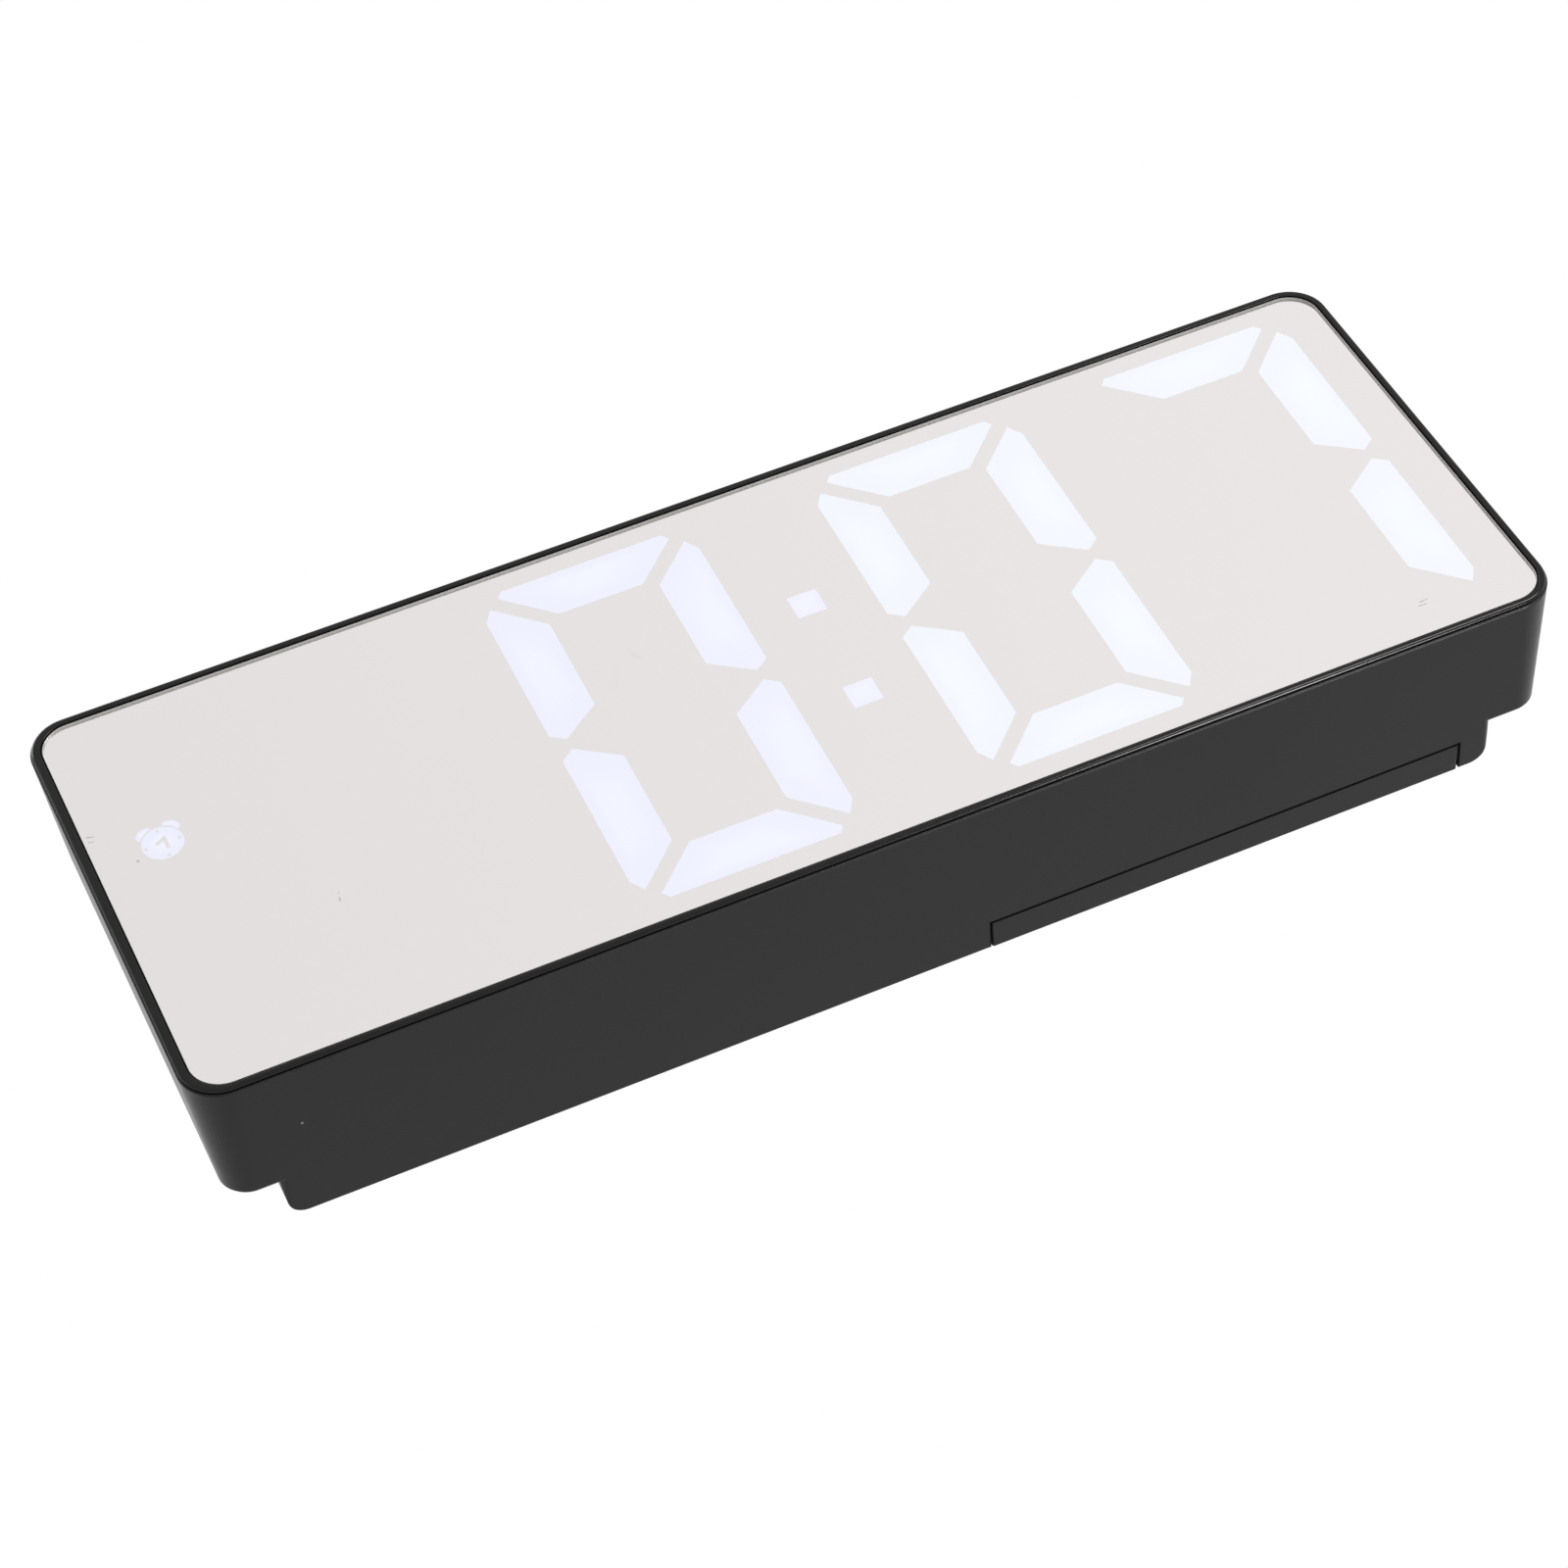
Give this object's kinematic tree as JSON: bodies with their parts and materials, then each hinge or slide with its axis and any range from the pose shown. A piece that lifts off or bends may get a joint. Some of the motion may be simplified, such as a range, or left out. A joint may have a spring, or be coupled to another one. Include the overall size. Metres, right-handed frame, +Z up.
{
  "type": "digital led desk clock",
  "caption": "Slim black desk clock with a large lit seven-segment time behind a mirror front, a battery bay with a lift-off door and push buttons on the back.",
  "frame": {"origin": "on the surface that the clock stands on, in the middle of its width and of its depth", "axes": "+Z up, +X to the right as seen from the front, +Y to the back; the display faces -Y"},
  "size_m": [0.16, 0.0236, 0.0587],
  "materials": {
    "case_plastic": "fine matte moulding grain, black",
    "bezel_plastic": "satin moulded black",
    "mirror_sheet": "one-way mirror film on acrylic",
    "tape": "thin double-sided tape",
    "reflector_plastic": "black moulded light-well block",
    "diffuser_lit": "milky light diffuser, lit",
    "diffuser_dark": "milky light diffuser, unlit",
    "board": "glass-fibre circuit board with solder mask",
    "light_chip": "light-emitting chip with yellow gel",
    "chip_black": "moulded component body",
    "steel": "bright plated steel",
    "switch_plastic": "key switch body",
    "plunger_plastic": "ivory plunger",
    "button_plastic": "satin black button",
    "cell_jacket": "cell with a plain sleeve",
    "lead_black": "black wire insulation",
    "lead_red": "red wire insulation",
    "ribbon": "flat ribbon cable"
  },
  "bodies": {
    "case": {"bezel": "bezel_plastic", "mirror_panel": "mirror_sheet", "mirror_tape": "tape", "reflector": "reflector_plastic", "hour_tens_diffusers": "diffuser_dark", "hour_units_diffusers": "diffuser_lit", "minute_tens_diffusers": "diffuser_lit", "minute_units_diffusers": "diffuser_lit", "colon_diffusers": "diffuser_lit", "alarm_sign_diffuser": "diffuser_lit", "display_board": "board", "light_chips": "light_chip", "clock_chip": "chip_black", "crystal": "steel", "display_screws": "steel", "rear_housing": "case_plastic", "cell_1": "cell_jacket", "cell_2": "cell_jacket", "cell_3": "cell_jacket", "end_contact_negative": "steel", "end_contact_positive": "steel", "bridge_contact_left": "steel", "bridge_contact_right": "steel", "key_board": "board", "key_switches": "switch_plastic", "key_board_screws": "steel", "buzzer": "chip_black", "power_socket": "steel", "board_ribbon": "ribbon", "battery_lead_negative": "lead_black", "battery_lead_positive": "lead_red"},
    "door": {"battery_door": "case_plastic"},
    "key_1": {"button_1": "button_plastic", "plunger_1": "plunger_plastic"},
    "key_2": {"button_2": "button_plastic", "plunger_2": "plunger_plastic"},
    "key_3": {"button_3": "button_plastic", "plunger_3": "plunger_plastic"},
    "key_4": {"button_4": "button_plastic", "plunger_4": "plunger_plastic"},
    "key_5": {"button_5": "button_plastic", "plunger_5": "plunger_plastic"}
  },
  "joints": [
    {"name": "door_swing", "type": "hinge", "parent": "case", "child": "door", "pos_m": [0.0387, 0.0109, 0.0391], "axis": [1, 0, 0], "range_deg": [0, 50]},
    {"name": "key_1_press", "type": "slide", "parent": "case", "child": "key_1", "axis": [0, -1, 0], "range_m": [0, 0.0006], "stiffness_N_per_m": 1500},
    {"name": "key_2_press", "type": "slide", "parent": "case", "child": "key_2", "axis": [0, -1, 0], "range_m": [0, 0.0006], "stiffness_N_per_m": 1500},
    {"name": "key_3_press", "type": "slide", "parent": "case", "child": "key_3", "axis": [0, -1, 0], "range_m": [0, 0.0006], "stiffness_N_per_m": 1500},
    {"name": "key_4_press", "type": "slide", "parent": "case", "child": "key_4", "axis": [0, -1, 0], "range_m": [0, 0.0006], "stiffness_N_per_m": 1500},
    {"name": "key_5_press", "type": "slide", "parent": "case", "child": "key_5", "axis": [0, -1, 0], "range_m": [0, 0.0006], "stiffness_N_per_m": 1500}
  ]
}
